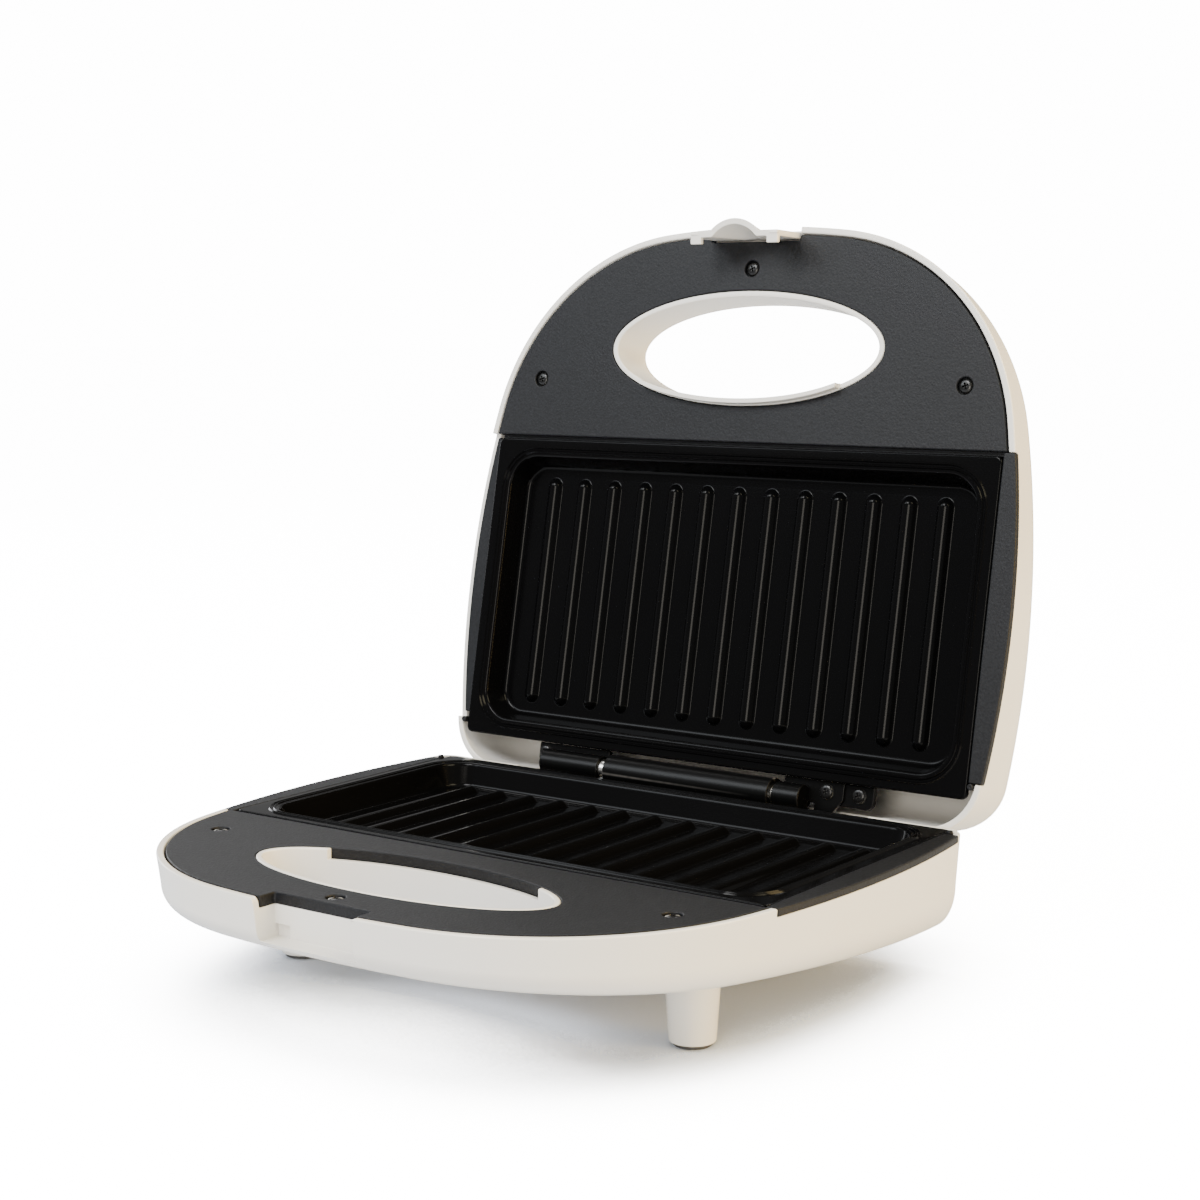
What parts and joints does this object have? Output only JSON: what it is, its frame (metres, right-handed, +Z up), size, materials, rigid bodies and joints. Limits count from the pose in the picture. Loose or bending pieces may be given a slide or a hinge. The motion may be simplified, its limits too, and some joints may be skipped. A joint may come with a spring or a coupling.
{
  "type": "sandwich toaster",
  "caption": "Electric sandwich toaster with a hinged lid, ribbed non-stick grill plates, a hand hole through each half and a swinging front latch, shown open.",
  "frame": {"origin": "centre of the bounding box's bottom face, on the table", "axes": "+X to the right of a person who faces the front, +Y to the rear, +Z up; the front is at -Y and the hinge axis runs along X at the rear"},
  "size_m": [0.236, 0.2622, 0.2544],
  "materials": {
    "shell_plastic": "gloss moulded white plastic",
    "cover_plastic": "fine-textured black plastic",
    "black_screw": "black pan head screws with cross recesses",
    "zinc_screw": "zinc-plated screws",
    "nonstick_plate": "die-cast aluminium with a black non-stick coating",
    "heater_tube": "oxidised heater sheath",
    "shield_sheet": "aluminised sheet",
    "thermostat_body": "phenolic body",
    "terminal_ceramic": "white terminal block",
    "fuse_case": "thermal fuse case",
    "rubber_black": "black bushing",
    "rubber_pad": "dark grey feet",
    "hinge_metal": "satin black hinge",
    "pin_steel": "bright pin",
    "red_lens": "red signal lens",
    "green_lens": "green signal lens",
    "lamp_glass": "neon lamps"
  },
  "bodies": {
    "base": {"base_shell": "shell_plastic", "base_handle_cover": "cover_plastic", "base_cover_screws": "black_screw", "base_plate_frame": "cover_plastic", "base_frame_screws": "zinc_screw", "base_grill_plate": "nonstick_plate", "base_heater": "heater_tube", "base_heat_shield": "shield_sheet", "base_shield_screws": "zinc_screw", "thermostat": "thermostat_body", "terminal_block": "terminal_ceramic", "cord_bushing": "rubber_black", "base_feet": "shell_plastic", "foot_pads": "rubber_pad", "base_hinge_leaf": "hinge_metal", "base_hinge_screws": "zinc_screw"},
    "lid": {"hinge_pin": "pin_steel", "lid_hinge_left": "hinge_metal", "lid_hinge_right": "hinge_metal", "lid_hinge_screws": "black_screw", "lid_shell": "shell_plastic", "lid_handle_cover": "cover_plastic", "lid_cover_screws": "black_screw", "lid_plate_frame": "cover_plastic", "lid_frame_screws": "zinc_screw", "lid_grill_plate": "nonstick_plate", "lid_heater": "heater_tube", "lid_heat_shield": "shield_sheet", "lid_shield_screws": "zinc_screw", "thermal_fuse": "fuse_case", "power_lens": "red_lens", "ready_lens": "green_lens", "lamp_holder": "lamp_glass", "latch_pin": "pin_steel"},
    "latch": {"latch": "shell_plastic"}
  },
  "joints": [
    {"name": "lid_hinge", "type": "hinge", "parent": "base", "child": "lid", "pos_m": [0, 0.07497, 0.0496], "axis": [1, 0, 0], "range_deg": [0, 101.4]},
    {"name": "latch_swing", "type": "hinge", "parent": "lid", "child": "latch", "pos_m": [0, 0.1221, 0.24739], "axis": [1, 0, 0], "range_deg": [-25, 3.7]}
  ]
}
